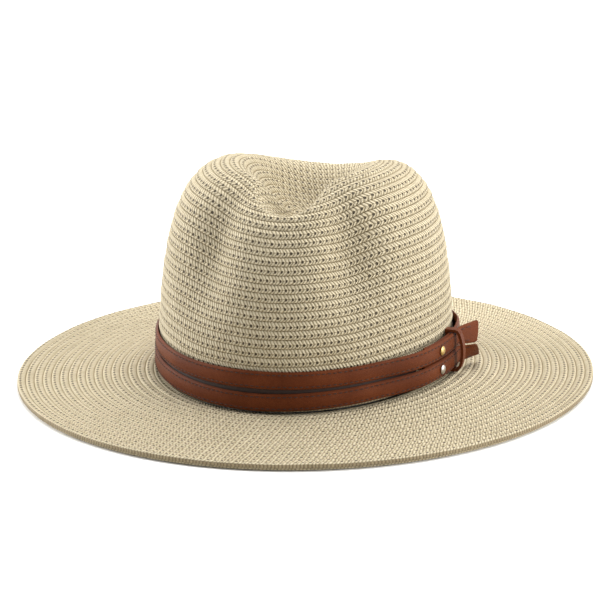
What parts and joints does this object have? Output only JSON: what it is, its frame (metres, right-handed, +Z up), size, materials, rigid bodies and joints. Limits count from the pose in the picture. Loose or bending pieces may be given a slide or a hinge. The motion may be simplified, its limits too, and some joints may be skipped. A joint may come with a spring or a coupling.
{
  "type": "panama hat",
  "caption": "Wide-brimmed straw hat with a pinched teardrop crown and a double leather band held by rivets and a sliding keeper.",
  "frame": {"origin": "centre of the bounding box, on the surface that the brim's edge rests on", "axes": "+Z up through the crown, -Y towards the front of the hat, +X towards the wearer's left"},
  "size_m": [0.3326, 0.3658, 0.1296],
  "materials": {
    "straw": "sewn paper-straw braid, matt",
    "leather": "smooth, satin",
    "cotton": "ribbed ribbon",
    "label": "plain, blank",
    "brass": "satin",
    "nickel": "satin nickel"
  },
  "bodies": {
    "hat": {"crown": "straw", "brim": "straw", "brim_edge_hem": "straw", "sweatband": "cotton", "size_label": "label", "band_backing": "leather", "upper_strap": "leather", "lower_strap": "leather", "upper_rivet": "brass", "upper_rivet_burr": "brass", "lower_rivet": "nickel", "lower_rivet_burr": "nickel"},
    "keeper": {"keeper_loop": "leather"}
  },
  "joints": [
    {"name": "keeper_slide", "type": "slide", "parent": "hat", "child": "keeper", "axis": [-0.0146, 0.9999, 0], "range_m": [-0.003, 0.001]}
  ]
}
